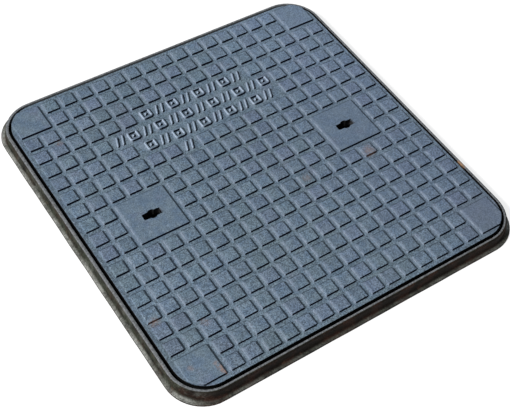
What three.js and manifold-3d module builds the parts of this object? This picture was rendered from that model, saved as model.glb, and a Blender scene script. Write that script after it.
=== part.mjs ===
// A square cast-iron access cover lying in its frame, in millimetres, +Z up.
// The origin is the centre of the frame's bedding face. +X runs from the left
// keyhole to the right one, and +Y is the far side for someone facing the marks.
import * as THREE from 'three';
import { mergeVertices } from 'three/addons/utils/BufferGeometryUtils.js';
import Module from 'manifold-3d';

const wasm = await Module();
wasm.setup();

// ---- Driving dimensions ----
const CLEAR_OPENING = 600;
const COVER_SIDE = 635;
const COVER_CORNER_R = 54;
const COVER_GAP = 4.5; // between the cover's edge and the frame's wall
const FRAME_HEIGHT = 25;
const RIM_WIDTH = 5.8; // top of the frame's wall, with its rounded outer edge
const RIM_EDGE_R = 3.2;
const WALL_DRAFT = 0.4; // how far the wall leans out on its way down to the cove
const COVE = { top: 8.6, radius: 4.5, turn: 0.44 * Math.PI, steps: 4 };
const TOE = { half: 335, thickness: 4, edge: 0.8 }; // the bedding flange outside the wall
const TOE_TIGHTER = 6.5; // how much less round the toe's corners are than the wall's
const CHANNEL_FLOOR = 5;
const LIP_WIDTH = 4;
const LIP_TOP = 9;

const COVER_PROUD = 1.5; // the cover's edge above the frame's rim
const PLATE = 5.5;
const SKIRT = 6.5; // downstand round the cover's edge, at its root
const SKIRT_DRAFT = 1;
const RIB = 5;
const RIB_DEPTH = 16; // from the plate's underside
const RIB_END_DEPTH = 11; // over the frame's lip, where the ribs are shallower
const RIB_END_REACH = 40; // length of the slope between the two depths
const RIBS_ALONG_Y = [-264, -132, 0, 132, 264];
const RIBS_ALONG_X = [-198, -66, 66, 198];

// Columns are counted from 1 at the -X side, and rows from 1 at the +Y side.
const GRID = 19;
const PITCH = 33;
const STUD_TOP = 24;
const STUD_FOOT = 24.8;
const STUD_RISE = 4;
const CORNER_PAD_CELLS = 2;
const KEY_PAD_CELLS = 3;
const KEY_COLUMN = 4; // middle column of the left keyhole's pad; the right one mirrors it

const KEY_SLOT = { length: 34, width: 12, middleR: 8.5 };
const BOSS_R = 38;
const BOSS_DEPTH = 4;
const CUP = { flangeR: 36, sheet: 1.5, bodyR: 24, depth: 12 };
const SCREW = { headR: 4.8, headTipR: 3.6, headH: 3.2, shankR: 2.5, length: 7, ringR: 30 };
const HOLE_CLEARANCE = 0.3;

const SEAL = { width: 12, thickness: 3 };

// Rows of plain foundry marks that take the place of raised squares. Each row
// clears the squares between two columns and holds marks of one even pitch.
const MARK_PITCH = 27;
const MARK_SIZE = 22;
const MARK_STROKE = 4.4;
const MARK_RISE = 3;
const MARK_ROWS = [
  { row: 4, first: 7, last: 13, marks: 8 },
  { row: 5, first: 5, last: 14, marks: 12 },
  { row: 6, first: 6, last: 14, marks: 10 },
  { row: 7, first: 8, last: 8, marks: 1 },
];

const CORNER_STEPS = 8;
const OVERLAP = 0.5; // how deep joined shapes run into each other before the union
const ARC_INSET = 1 - Math.SQRT1_2; // from a square corner to the middle of its arc, per radius

// ---- Places worked out from the dimensions ----
const coverHalf = COVER_SIDE / 2;
const cornerCentre = coverHalf - COVER_CORNER_R;
const plateTop = FRAME_HEIGHT + COVER_PROUD;
const plateBottom = plateTop - PLATE;
const wallInner = coverHalf + COVER_GAP;
const wallOuter = wallInner + RIM_WIDTH;
const lipInner = CLEAR_OPENING / 2;
const sealTop = CHANNEL_FLOOR + SEAL.thickness;
const bossBottom = plateBottom - BOSS_DEPTH;
const middleCell = (GRID + 1) / 2;
const keyX = (middleCell - KEY_COLUMN) * PITCH;

const columnX = (column) => (column - middleCell) * PITCH;
const rowY = (row) => (middleCell - row) * PITCH;
const padSide = (cells) => (cells - 1) * PITCH + STUD_TOP;

// ---- Solids ----
function toSolid(geometry) {
  const bare = geometry.clone();
  bare.deleteAttribute('normal');
  bare.deleteAttribute('uv');
  const merged = mergeVertices(bare, 1e-4);
  const mesh = new wasm.Mesh({
    numProp: 3,
    vertProperties: new Float32Array(merged.attributes.position.array),
    triVerts: new Uint32Array(merged.index.array),
  });
  return new wasm.Manifold(mesh);
}

function toGeometry(solid) {
  const mesh = solid.getMesh();
  const geometry = new THREE.BufferGeometry();
  geometry.setAttribute('position', new THREE.BufferAttribute(mesh.vertProperties, 3));
  geometry.setIndex(new THREE.BufferAttribute(mesh.triVerts, 1));
  geometry.computeVertexNormals();
  return geometry;
}

const join = (shapes) => shapes.map(toSolid).reduce((whole, next) => whole.add(next));

// A band of this cross-section round a square with rounded corners. A profile
// point is [distance of the straight side from the centre, height, tighter], and
// the points run anticlockwise. The corners turn about the cover's own corner
// centre, or about a point that much further out in x and in y.
function band(profile) {
  const positions = [];
  for (let quarter = 0; quarter < 4; quarter += 1) {
    const middle = (quarter + 0.5) * Math.PI / 2;
    const signX = Math.sign(Math.cos(middle));
    const signY = Math.sign(Math.sin(middle));
    for (let step = 0; step <= CORNER_STEPS; step += 1) {
      const turn = (quarter + step / CORNER_STEPS) * Math.PI / 2;
      for (const [side, height, tighter = 0] of profile) {
        const centre = cornerCentre + tighter;
        const r = side - centre;
        const x = signX * centre + r * Math.cos(turn);
        const y = signY * centre + r * Math.sin(turn);
        positions.push(x, y, height);
      }
    }
  }
  const stations = 4 * (CORNER_STEPS + 1);
  const index = [];
  for (let s = 0; s < stations; s += 1) {
    for (let p = 0; p < profile.length; p += 1) {
      const nextStation = (s + 1) % stations;
      const nextPoint = (p + 1) % profile.length;
      const a = s * profile.length + p;
      const b = s * profile.length + nextPoint;
      const c = nextStation * profile.length + nextPoint;
      const d = nextStation * profile.length + p;
      index.push(a, d, c, a, c, b);
    }
  }
  const geometry = new THREE.BufferGeometry();
  geometry.setAttribute('position', new THREE.Float32BufferAttribute(positions, 3));
  geometry.setIndex(index);
  return geometry;
}

function roundedSquare(half, radius) {
  const c = half - radius;
  const shape = new THREE.Shape();
  shape.moveTo(half, -c);
  shape.lineTo(half, c);
  shape.absarc(c, c, radius, 0, Math.PI / 2);
  shape.lineTo(-c, half);
  shape.absarc(-c, c, radius, Math.PI / 2, Math.PI);
  shape.lineTo(-half, -c);
  shape.absarc(-c, -c, radius, Math.PI, 1.5 * Math.PI);
  shape.lineTo(c, -half);
  shape.absarc(c, -c, radius, 1.5 * Math.PI, 2 * Math.PI);
  return shape;
}

// An outline drawn in plan and pulled up from one height to another.
function pulledUp(shape, from, to) {
  const geometry = new THREE.ExtrudeGeometry(shape, {
    depth: to - from,
    bevelEnabled: false,
    curveSegments: CORNER_STEPS,
  });
  return geometry.translate(0, 0, from);
}

function block(width, length, from, to) {
  const geometry = new THREE.BoxGeometry(width, length, to - from);
  return geometry.translate(0, 0, (from + to) / 2);
}

// A rounded piece turned about its own upright axis, from [radius, height] points.
function turned(profile, segments) {
  const points = profile.map(([r, height]) => new THREE.Vector2(r, height));
  return new THREE.LatheGeometry(points, segments).rotateX(Math.PI / 2);
}

// ---- Frame and seal ----
// The hollow curve from the toe up to the wall.
function coveProfile() {
  const points = [];
  for (let step = COVE.steps; step >= 0; step -= 1) {
    const share = step / COVE.steps;
    const turn = share * COVE.turn;
    const side = wallOuter + WALL_DRAFT + COVE.radius * (1 - Math.cos(turn));
    const height = COVE.top - COVE.radius * Math.sin(turn);
    points.push([side, height, share * TOE_TIGHTER]);
  }
  return points;
}

function frameGeometry() {
  const { half, thickness, edge } = TOE;
  return band([
    [lipInner, 0],
    [half - edge, 0, TOE_TIGHTER],
    [half, edge, TOE_TIGHTER],
    [half, thickness - edge, TOE_TIGHTER],
    [half - edge, thickness, TOE_TIGHTER],
    ...coveProfile(),
    [wallOuter, FRAME_HEIGHT - RIM_EDGE_R],
    [wallOuter - ARC_INSET * RIM_EDGE_R, FRAME_HEIGHT - ARC_INSET * RIM_EDGE_R],
    [wallOuter - RIM_EDGE_R, FRAME_HEIGHT],
    [wallInner, FRAME_HEIGHT],
    [wallInner, CHANNEL_FLOOR],
    [lipInner + LIP_WIDTH, CHANNEL_FLOOR],
    [lipInner + LIP_WIDTH, LIP_TOP],
    [lipInner, LIP_TOP],
  ]);
}

function sealGeometry() {
  const skirtMiddle = coverHalf - SKIRT_DRAFT - SKIRT / 2;
  const inner = skirtMiddle - SEAL.width / 2;
  const outer = skirtMiddle + SEAL.width / 2;
  const edge = SEAL.thickness / 3;
  return band([
    [inner, CHANNEL_FLOOR],
    [outer, CHANNEL_FLOOR],
    [outer, sealTop - edge],
    [outer - edge, sealTop],
    [inner + edge, sealTop],
    [inner, sealTop - edge],
  ]);
}

// ---- Cover, from above ----
const isCornerPad = (column, row) => {
  const nearEnd = (cell) => cell <= CORNER_PAD_CELLS || cell > GRID - CORNER_PAD_CELLS;
  return nearEnd(column) && nearEnd(row);
};
const isKeyPad = (column, row) => {
  const reach = (KEY_PAD_CELLS - 1) / 2;
  const fromMiddle = Math.abs(column - middleCell);
  const fromKey = Math.abs(fromMiddle - (middleCell - KEY_COLUMN));
  return fromKey <= reach && Math.abs(row - middleCell) <= reach;
};
const isMarked = (column, row) => MARK_ROWS.some(
  (marks) => marks.row === row && column >= marks.first && column <= marks.last,
);

// One raised square: a four-sided frustum with a little casting draft.
function stud(column, row) {
  const height = STUD_RISE + OVERLAP;
  const topR = STUD_TOP / Math.SQRT2;
  const footR = STUD_FOOT / Math.SQRT2;
  const frustum = new THREE.CylinderGeometry(topR, footR, height, 4, 1);
  frustum.rotateY(Math.PI / 4).rotateX(Math.PI / 2);
  return frustum.translate(columnX(column), rowY(row), plateTop - OVERLAP + height / 2);
}

function studs() {
  const shapes = [];
  for (let row = 1; row <= GRID; row += 1) {
    for (let column = 1; column <= GRID; column += 1) {
      const merged = isCornerPad(column, row) || isKeyPad(column, row);
      if (!merged && !isMarked(column, row)) shapes.push(stud(column, row));
    }
  }
  return shapes;
}

// The four square corner pads, each cut off by the cover's own rounded corner.
function cornerPads() {
  const foot = plateTop - OVERLAP;
  const top = plateTop + STUD_RISE;
  const side = padSide(CORNER_PAD_CELLS);
  const middle = columnX(GRID) + STUD_TOP / 2 - side / 2;
  const corners = [[1, 1], [-1, 1], [-1, -1], [1, -1]];
  const squares = corners.map(
    ([x, y]) => block(side, side, foot, top).translate(x * middle, y * middle, 0),
  );
  const outline = pulledUp(roundedSquare(coverHalf, COVER_CORNER_R), foot - 1, top + 1);
  return join(squares).intersect(toSolid(outline));
}

function keyPad(x) {
  const side = padSide(KEY_PAD_CELLS);
  return block(side, side, plateTop - OVERLAP, plateTop + STUD_RISE).translate(x, 0, 0);
}

function squareOutline(half) {
  const corners = [[-half, -half], [half, -half], [half, half], [-half, half]];
  return corners.map(([x, y]) => new THREE.Vector2(x, y));
}

// A square outline with a small square in the middle.
function framedMark() {
  const half = MARK_SIZE / 2;
  const shape = new THREE.Shape(squareOutline(half));
  shape.holes.push(new THREE.Path(squareOutline(half - MARK_STROKE)));
  const foot = plateTop - OVERLAP;
  const top = plateTop + MARK_RISE;
  return [pulledUp(shape, foot, top), block(MARK_STROKE, MARK_STROKE, foot, top)];
}

// Two slanted bars side by side.
function hatchMark() {
  const lean = Math.PI / 9;
  const bar = (x) => block(MARK_STROKE, MARK_SIZE, plateTop - OVERLAP, plateTop + MARK_RISE)
    .rotateZ(-lean)
    .translate(x, 0, 0);
  return [bar(-MARK_SIZE / 4), bar(MARK_SIZE / 4)];
}

function markShapes() {
  const shapes = [];
  for (const { row, first, last, marks } of MARK_ROWS) {
    const middle = (columnX(first) + columnX(last)) / 2;
    for (let n = 0; n < marks; n += 1) {
      const x = middle + (n - (marks - 1) / 2) * MARK_PITCH;
      const mark = (n + row) % 2 === 0 ? framedMark() : hatchMark();
      shapes.push(...mark.map((shape) => shape.translate(x, rowY(row), 0)));
    }
  }
  return shapes;
}

// ---- Cover, from below ----
function skirt() {
  const outerFoot = coverHalf - SKIRT_DRAFT;
  return band([
    [outerFoot - SKIRT + SKIRT_DRAFT, sealTop],
    [outerFoot, sealTop],
    [coverHalf, plateBottom + OVERLAP],
    [coverHalf - SKIRT, plateBottom + OVERLAP],
  ]);
}

// A rib along X through the middle, deep inside the frame's lip and shallow over it.
function rib() {
  const end = coverHalf - SKIRT / 2;
  const slopeStart = lipInner - RIB_END_REACH / 4;
  const slopeEnd = slopeStart - RIB_END_REACH;
  const shape = new THREE.Shape();
  shape.moveTo(-end, plateBottom + OVERLAP);
  shape.lineTo(-end, plateBottom - RIB_END_DEPTH);
  shape.lineTo(-slopeStart, plateBottom - RIB_END_DEPTH);
  shape.lineTo(-slopeEnd, plateBottom - RIB_DEPTH);
  shape.lineTo(slopeEnd, plateBottom - RIB_DEPTH);
  shape.lineTo(slopeStart, plateBottom - RIB_END_DEPTH);
  shape.lineTo(end, plateBottom - RIB_END_DEPTH);
  shape.lineTo(end, plateBottom + OVERLAP);
  const upright = pulledUp(shape, -RIB / 2, RIB / 2);
  return upright.rotateX(Math.PI / 2);
}

function ribs() {
  const alongX = RIBS_ALONG_X.map((y) => rib().translate(0, y, 0));
  const alongY = RIBS_ALONG_Y.map((x) => rib().rotateZ(Math.PI / 2).translate(x, 0, 0));
  return [...alongX, ...alongY];
}

function upright(r, from, to, segments) {
  return turned([[0, from], [r, from], [r, to], [0, to]], segments);
}

function keyholeCuts(x) {
  const { length, width, middleR } = KEY_SLOT;
  const from = bossBottom - 1;
  const to = plateTop + STUD_RISE + 1;
  const slot = [block(length, width, from, to), upright(middleR, from, to, 24)];
  return slot.map((shape) => shape.translate(x, 0, 0));
}

function screwHoles(x) {
  const r = SCREW.shankR + HOLE_CLEARANCE;
  const from = bossBottom - 1;
  const to = bossBottom - CUP.sheet + SCREW.length + HOLE_CLEARANCE;
  return [-1, 1].map((side) => upright(r, from, to, 12).translate(x, side * SCREW.ringR, 0));
}

function coverGeometry() {
  const plate = pulledUp(roundedSquare(coverHalf, COVER_CORNER_R), plateBottom, plateTop);
  const bosses = [-keyX, keyX].map(
    (x) => upright(BOSS_R, bossBottom, plateBottom + OVERLAP, 24).translate(x, 0, 0),
  );
  const raised = join([
    plate,
    skirt(),
    ...ribs(),
    ...bosses,
    ...studs(),
    keyPad(-keyX),
    keyPad(keyX),
    ...markShapes(),
  ]);
  const casting = raised.add(cornerPads());
  const cuts = [-keyX, keyX].flatMap((x) => [...keyholeCuts(x), ...screwHoles(x)]);
  return toGeometry(casting.subtract(join(cuts)));
}

// ---- Keyway cups and their screws ----
function cupGeometry() {
  const { flangeR, sheet, bodyR, depth } = CUP;
  const top = bossBottom;
  const under = top - sheet;
  const floor = top - depth;
  const bend = 3;
  const cup = turned([
    [0, floor],
    [bodyR - bend, floor],
    [bodyR, floor + bend],
    [bodyR, under],
    [flangeR, under],
    [flangeR, top],
    [bodyR - sheet, top],
    [bodyR - sheet, floor + bend],
    [bodyR - bend, floor + sheet],
    [0, floor + sheet],
  ], 24);
  const r = SCREW.shankR + HOLE_CLEARANCE;
  const holes = [-1, 1].map(
    (side) => upright(r, under - 1, top + 1, 12).translate(0, side * SCREW.ringR, 0),
  );
  return toGeometry(toSolid(cup).subtract(join(holes)));
}

function screwGeometry() {
  const { headR, headTipR, headH, shankR, length } = SCREW;
  const seat = bossBottom - CUP.sheet;
  return turned([
    [0, seat - headH],
    [headTipR, seat - headH],
    [headR, seat - headH / 2],
    [headR, seat],
    [shankR, seat],
    [shankR, seat + length],
    [0, seat + length],
  ], 12);
}

// ---- Materials ----
function ironMaterial(color) {
  return new THREE.MeshStandardMaterial({
    color,
    roughness: 0.62,
    metalness: 0.55,
    flatShading: true,
  });
}
const coverIron = ironMaterial(0x66727d);
const frameIron = ironMaterial(0x5b5d5c);
const sealRubber = new THREE.MeshStandardMaterial({
  color: 0x141414,
  roughness: 0.85,
  metalness: 0,
  flatShading: true,
});
const cupSteel = new THREE.MeshStandardMaterial({
  color: 0x1b1d1e,
  roughness: 0.45,
  metalness: 0.3,
  flatShading: true,
});
const screwSteel = new THREE.MeshStandardMaterial({
  color: 0xa9adb0,
  roughness: 0.4,
  metalness: 1,
  flatShading: true,
});

// ---- Scene graph ----
function piece(name, geometry, material) {
  const mesh = new THREE.Mesh(geometry, material);
  mesh.name = name;
  return mesh;
}

function keyway(side, x, firstScrew) {
  const group = new THREE.Group();
  group.position.x = x;
  group.add(piece(`keyway_cup_${side}`, cupGeometry(), cupSteel));
  [-1, 1].forEach((end, n) => {
    const screw = piece(`keyway_cup_screw_${firstScrew + n}`, screwGeometry(), screwSteel);
    screw.position.y = end * SCREW.ringR;
    group.add(screw);
  });
  return group;
}

const accessCover = new THREE.Group();
accessCover.add(
  piece('frame', frameGeometry(), frameIron),
  piece('seating_seal', sealGeometry(), sealRubber),
  piece('cover', coverGeometry(), coverIron),
  keyway('left', -keyX, 1),
  keyway('right', keyX, 3),
);

export default accessCover;
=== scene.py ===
"""A square cast-iron access cover lying in its frame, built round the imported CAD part.

Shapes are worked out in millimetres and turned into metres when a mesh is made.
Columns of raised squares are counted from 1 at the -X side, rows from 1 at the +Y side.
"""
import math
import random

import bpy
from mathutils import Matrix, Quaternion, Vector, noise


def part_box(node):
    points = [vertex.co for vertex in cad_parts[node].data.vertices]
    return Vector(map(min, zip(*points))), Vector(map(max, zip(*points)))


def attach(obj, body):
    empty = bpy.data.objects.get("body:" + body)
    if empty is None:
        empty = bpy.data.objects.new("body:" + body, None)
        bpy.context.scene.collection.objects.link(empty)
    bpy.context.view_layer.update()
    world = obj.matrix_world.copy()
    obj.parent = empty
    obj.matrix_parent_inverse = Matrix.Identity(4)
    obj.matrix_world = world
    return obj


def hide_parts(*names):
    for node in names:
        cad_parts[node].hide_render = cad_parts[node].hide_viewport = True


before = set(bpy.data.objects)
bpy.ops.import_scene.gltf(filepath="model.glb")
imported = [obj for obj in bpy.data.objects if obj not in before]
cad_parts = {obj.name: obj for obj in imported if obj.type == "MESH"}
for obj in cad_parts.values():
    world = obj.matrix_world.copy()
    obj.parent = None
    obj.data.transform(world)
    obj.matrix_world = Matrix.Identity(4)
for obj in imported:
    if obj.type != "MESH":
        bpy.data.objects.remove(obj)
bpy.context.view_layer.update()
random.seed(11)

MM = 0.001


# ---- Sizes read from the frame ----
def box_mm(node):
    """The lowest and the highest corner of one of the frame's nodes."""
    low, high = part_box(node)
    return Vector(low) / MM, Vector(high) / MM


frame_high = box_mm("frame")[1]
cover_low, cover_high = box_mm("cover")
seal_low, seal_high = box_mm("seating_seal")
cup_low, cup_high = box_mm("keyway_cup_right")
screw_low, screw_high = box_mm("keyway_cup_screw_4")

COVER_HALF = cover_high.x
CORNER_RADIUS = 54.0
CORNER = COVER_HALF - CORNER_RADIUS  # the cover's rounded corners turn about this point
COVER_GAP = 4.5
RIM_WIDTH = 5.8
POCKET = COVER_HALF + COVER_GAP  # inner side of the frame's wall
RIM = POCKET + RIM_WIDTH  # outer side of the frame's wall
RIM_TOP = frame_high.z
TOE_HALF = frame_high.x
TOE_TIGHTER = 6.5  # how much less round the toe's corners are than the wall's
OPENING = 300.0
LIP_OUTER = OPENING + 4.0
LIP_TOP = 9.0
SEAL_WIDTH = 12.0
SKIRT_FOOT = seal_high.z
CHANNEL_FLOOR = seal_low.z
BOSS_FOOT = cup_high.z

# ---- Sizes of the casting ----
GRID = 19
PITCH = 33.0
STUD_RISE = 4.0
STUD_HALF = 12.4
STUD_CORNER = 1.3
PLATE = 5.5
PATTERN_TOP = cover_high.z
PLATE_TOP = PATTERN_TOP - STUD_RISE
PLATE_UNDER = PLATE_TOP - PLATE
FIELD_HALF = GRID * PITCH / 2
PAD_CELLS = 2
PAD_START = FIELD_HALF - PAD_CELLS * PITCH  # inner side of the corner pads' cells
KEY_CELLS = 3
KEY_COLUMN = 4  # middle column of the left keyhole's pad; the right one mirrors it
MIDDLE = (GRID + 1) / 2

RIBS_ALONG_X = (-198.0, -66.0, 66.0, 198.0)
RIBS_ALONG_Y = (-264.0, -132.0, 0.0, 132.0, 264.0)
RIB_DEPTH = PLATE_UNDER - cover_low.z
RIB_END_DEPTH = 11.0
RIB_SLOPE = (250.0, 290.0)  # the ribs grow shallower between these, to clear the lip

KEY_X = (cup_low.x + cup_high.x) / 2
KEY_SLOT_HALF = (17.0, 6.0)  # half its length and half its width
KEY_MIDDLE_R = 8.5
BOSS_R = 38.0
CUP_SHEET = 1.5
CUP_BODY_R = 24.0
CUP_BEND_R = 4.0  # between a cup's wall and its floor, measured outside
SCREW_RING_R = 30.0
SCREW_HOLE_R = 2.8
SCREW_SHANK_R = 2.5
SCREW_HEAD_R = 4.8

MARK_PITCH = 27.0
MARK_HALF = 11.0
MARK_STROKE = 5.0
MARK_RISE = 3.0
# row, first and last column without raised squares, number of marks in their place
MARK_ROWS = ((4, 7, 13, 8), (5, 5, 14, 12), (6, 6, 14, 10), (7, 8, 8, 1))

# A raised square's section, from its foot up: outset from its own outline, height as
# a share of the rise. The first three soften the foot and the last five round the edge.
RELIEF = (
    (1.2, 0.0), (0.4, 0.05), (0.05, 0.2), (-0.3, 0.82),
    (-0.48, 0.92), (-0.85, 0.97), (-1.6, 0.99), (-4.0, 1.0),
)
# The same for a mark, whose outset from its middle line is a share of its stroke.
MARK_SECTION = (
    (0.85, -0.03), (0.68, 0.035), (0.56, 0.1), (0.52, 0.2),
    (0.45, 0.72), (0.36, 0.93), (0.18, 1.0),
)
# A rib's section, from its root down: half thickness, share of its depth.
RIB_SECTION = (
    (5.4, -0.03), (4.2, 0.03), (3.4, 0.1), (3.0, 0.2),
    (2.3, 0.93), (2.0, 0.985), (1.4, 1.0),
)

CELL_STEPS = (0.0, 0.17, 0.39, 0.61, 0.83)  # points along one side of a grid cell
RUN_STEPS = 4  # points from a pad's inner side to where the corner's arc begins
ARC_STEPS = 12
ROUND_STEPS = 64  # points round a keyhole boss or a cup
SCREW_STEPS = 24  # points round a screw, its hole or a crossing of ribs


# ---- Mesh making ----
class Shell:
    """Points in millimetres and the faces between them."""

    def __init__(self):
        self.points = []
        self.faces = []
        self.meeting = {}

    def ring(self, points):
        first = len(self.points)
        self.points.extend(points)
        return list(range(first, len(self.points)))

    def meet(self, points):
        """A ring whose points are shared with any earlier ring that meets there."""
        ring = []
        for x, y, z in points:
            key = (round(x, 2), round(y, 2), round(z, 2))
            if key not in self.meeting:
                self.meeting[key] = len(self.points)
                self.points.append((x, y, z))
            ring.append(self.meeting[key])
        return ring

    def bridge(self, lower, upper):
        """Faces from one ring to the next, both anticlockwise seen from the top."""
        count = len(lower)
        for i in range(count):
            j = (i + 1) % count
            self.faces.append((lower[i], lower[j], upper[j], upper[i]))

    def fan(self, ring, tip):
        self.points.append(tip)
        top = len(self.points) - 1
        for i, a in enumerate(ring):
            self.faces.append((a, ring[(i + 1) % len(ring)], top))

    def stack(self, rings):
        """One closed shape through these rings, from its foot to its top."""
        loops = [self.ring(ring) for ring in rings]
        self.faces.append(tuple(reversed(loops[0])))
        for lower, upper in zip(loops, loops[1:]):
            self.bridge(lower, upper)
        self.faces.append(tuple(loops[-1]))

    def hoop(self, rings):
        """One closed band through these rings, the last joined to the first."""
        loops = [self.ring(ring) for ring in rings]
        for lower, upper in zip(loops, loops[1:] + loops[:1]):
            self.bridge(lower, upper)

    def make(self, name):
        mesh = bpy.data.meshes.new(name)
        mesh.from_pydata([Vector(p) * MM for p in self.points], [], self.faces)
        mesh.validate()
        made = bpy.data.objects.new(name, mesh)
        bpy.context.scene.collection.objects.link(made)
        return made


def combine(base, other, operation):
    """base joined with, or cut by, a closed object, which is used up."""
    modifier = base.modifiers.new("combine", "BOOLEAN")
    modifier.solver = "MANIFOLD"
    modifier.operation = operation
    modifier.object = other
    depsgraph = bpy.context.evaluated_depsgraph_get()
    mesh = bpy.data.meshes.new_from_object(base.evaluated_get(depsgraph))
    base.modifiers.clear()
    old = base.data
    base.data = mesh
    bpy.data.meshes.remove(old)
    bpy.data.objects.remove(other)


def smooth(piece, sharp_degrees):
    for polygon in piece.data.polygons:
        polygon.use_smooth = True
    piece.data.set_sharp_from_angle(angle=math.radians(sharp_degrees))


def corner_bite(corner):
    """How far the middle of a rounded corner stands back from each of its sides."""
    return corner * (1 - math.sqrt(0.5))


def on_corner(radius, angle):
    """A place on an arc round the point that the first corner turns about."""
    return CORNER + radius * math.cos(angle), CORNER + radius * math.sin(angle)


def wander(x, y, z, size, reach):
    """A smooth, repeatable unevenness of up to about reach, over lengths of size."""
    return reach * noise.noise(Vector((x, y, z)) / size)


def quarter_turn(quarter):
    return Matrix.Rotation(math.radians(90 * quarter), 3, "Z")


def column_x(column):
    return (column - MIDDLE) * PITCH


def row_y(row):
    return (MIDDLE - row) * PITCH


# ---- Outlines ----
def perimeter():
    """Points round a square with rounded corners: a place, the way out of it, and
    the way it moves where the corner's arc is tighter.

    There is a point wherever a cell of the raised pattern meets the pattern's edge.
    """
    straight = [k + step for k in range(GRID - 2 * PAD_CELLS) for step in CELL_STEPS]
    run = CORNER - PAD_START
    along = [k / RUN_STEPS for k in range(RUN_STEPS)]
    points = []
    for turn in map(quarter_turn, range(4)):
        side = [((CORNER, k * PITCH - PAD_START), (1, 0), (0, 0)) for k in straight]
        side += [((CORNER, PAD_START + run * s), (1, 0), (0, 0)) for s in along]
        for k in range(ARC_STEPS):
            a = math.radians(90 * k / ARC_STEPS)
            out = (math.cos(a), math.sin(a))
            side.append(((CORNER, CORNER), out, (1 - out[0], 1 - out[1])))
        side += [((CORNER - run * s, CORNER), (0, 1), (0, 0)) for s in along]
        points += [[turn @ Vector((*part, 0)) for part in point] for point in side]
    return points


PERIMETER = perimeter()


def band_ring(half, z, uneven=0.0, size=40.0, tighter=0.0):
    """A ring with this half side, whose corners are tighter than the cover's own."""
    ring = []
    for place, out, move in PERIMETER:
        at = place + out * (half - CORNER) + move * tighter
        at += out * wander(at.x, at.y, z, size, uneven)
        ring.append((at.x, at.y, z))
    return ring


def rounded_square(x, y, half, corner, z, per_side=5, turn=0.0):
    """per_side points on each side, the first of them in the middle of a corner."""
    ring = []
    flat = half - corner
    bite = corner_bite(corner)
    for quarter in range(4):
        spin = Matrix.Rotation(math.radians(90 * quarter) + turn, 2)
        side = [Vector((-half + bite, -half + bite))]
        for k in range(per_side - 1):
            side.append(Vector((-flat + 2 * flat * k / (per_side - 2), -half)))
        for point in side:
            at = spin @ point
            ring.append((x + at.x, y + at.y, z))
    return ring


def cell_border(column, row, cells):
    """The edge of a block of grid cells, named by its first column and last row."""
    x = column_x(column) - PITCH / 2
    y = row_y(row) - PITCH / 2
    side = cells * PITCH
    steps = [(k + step) * PITCH for k in range(cells) for step in CELL_STEPS]
    border = [(x + s, y) for s in steps]
    border += [(x + side, y + s) for s in steps]
    border += [(x + side - s, y + side) for s in steps]
    border += [(x, y + side - s) for s in steps]
    return [(px, py, PLATE_TOP) for px, py in border]


# ---- Cover, from above ----
def raised_square(shell, column, row, cells=1):
    """A block of cells with one raised square, each cast a little differently."""
    border = shell.meet(cell_border(column, row, cells))
    x = column_x(column) + (cells - 1) * PITCH / 2 + random.gauss(0, 0.25)
    y = row_y(row) + (cells - 1) * PITCH / 2 + random.gauss(0, 0.22)
    half = (cells - 1) * PITCH / 2 + STUD_HALF + random.gauss(0, 0.13)
    turn = math.radians(random.gauss(0, 0.35)) / cells
    rise = STUD_RISE + random.gauss(0, 0.11)
    lean = Vector((random.gauss(0, 0.006), random.gauss(0, 0.006))) / cells
    soft = random.uniform(0.85, 1.45)
    rings = [border]
    for outset, share in RELIEF:
        outset = outset * soft if outset < -0.5 else outset
        corner = max(STUD_CORNER + outset, 0.8)
        ring = []
        for px, py, _ in rounded_square(x, y, half + outset, corner, 0, 5 * cells, turn):
            tilt = share * (lean.x * (px - x) + lean.y * (py - y))
            ring.append((px, py, PLATE_TOP + rise * share + tilt))
        rings.append(shell.ring(ring))
    for outer, inner in zip(rings, rings[1:]):
        shell.bridge(outer, inner)
    shell.fan(rings[-1], (x, y, PLATE_TOP + rise + random.uniform(-0.12, 0.1)))


def corner_cell(quarter):
    """The flat plate under one corner pad, out to the pattern's rounded edge."""
    start = PAD_START
    run = CORNER - start
    steps = [(k + step) * PITCH for k in range(PAD_CELLS) for step in CELL_STEPS]
    border = [(start + s, start) for s in steps]
    border += [(FIELD_HALF, start + run * k / RUN_STEPS) for k in range(RUN_STEPS)]
    arc = [math.radians(90 * k / ARC_STEPS) for k in range(ARC_STEPS)]
    border += [on_corner(FIELD_HALF - CORNER, a) for a in arc]
    border += [(CORNER - run * k / RUN_STEPS, FIELD_HALF) for k in range(RUN_STEPS)]
    border += [(start, FIELD_HALF - s) for s in steps]
    turn = quarter_turn(quarter)
    return [tuple(turn @ Vector((x, y, PLATE_TOP))) for x, y in border]


def corner_pad_ring(inner, outer, corner, radius, z):
    """A square from inner to outer whose far corner is cut off by the cover's arc."""
    bite = corner_bite(corner)
    ring = [(inner + bite, inner + bite), (inner + corner, inner)]
    ring += [(outer - corner, inner), (outer - bite, inner + bite), (outer, inner + corner)]
    start = math.acos((outer - CORNER) / radius)
    for k in range(ARC_STEPS + 1):
        a = start + (math.pi / 2 - 2 * start) * k / ARC_STEPS
        ring.append(on_corner(radius, a))
    ring += [(inner + corner, outer), (inner + bite, outer - bite), (inner, outer - corner)]
    ring.append((inner, inner + corner))
    return [(x, y, z) for x, y in ring]


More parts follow.
